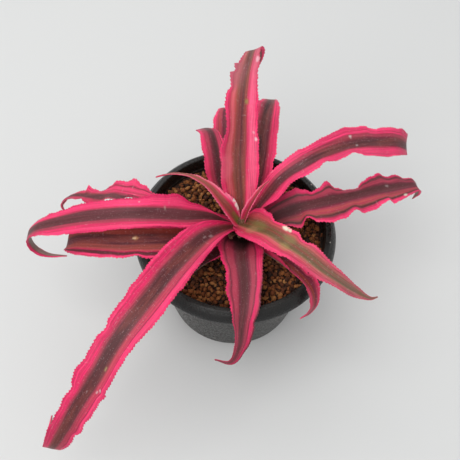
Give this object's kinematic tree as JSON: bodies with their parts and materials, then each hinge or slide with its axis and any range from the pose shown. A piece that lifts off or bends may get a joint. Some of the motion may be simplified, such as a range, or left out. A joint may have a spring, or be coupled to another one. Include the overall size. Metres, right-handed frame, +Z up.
{
  "type": "potted earth star",
  "caption": "Small bromeliad rosette of long wavy strap leaves with pink margins, growing in a round tapering plastic pot.",
  "frame": {"origin": "centre of the underside of the pot", "axes": "+Z up along the pot's axis; +Y away from the viewer, so that the long leaf points to the front left"},
  "size_m": [0.2577, 0.2343, 0.182],
  "materials": {
    "pot_plastic": "satin, slightly scuffed",
    "clay_grains": "dry, matt",
    "stem_bark": "matt",
    "leaf_blade": "satin, fleshy",
    "young_leaf_blade": "satin, fleshy"
  },
  "bodies": {
    "root": {"pot": "pot_plastic", "growing_medium": "clay_grains", "stem": "stem_bark", "leaf_back_tall": "leaf_blade", "leaf_back_right": "leaf_blade", "leaf_back_left": "leaf_blade", "leaf_back_low": "leaf_blade", "leaf_right_upper": "leaf_blade", "leaf_right_lower": "leaf_blade", "leaf_front_right": "young_leaf_blade", "leaf_front_right_low": "leaf_blade", "leaf_front": "leaf_blade", "leaf_front_left": "leaf_blade", "leaf_front_left_low": "leaf_blade", "leaf_left": "leaf_blade", "leaf_left_low": "leaf_blade", "leaf_left_back": "leaf_blade", "leaf_inner_left": "young_leaf_blade", "leaf_inner_right": "young_leaf_blade"}
  },
  "joints": []
}
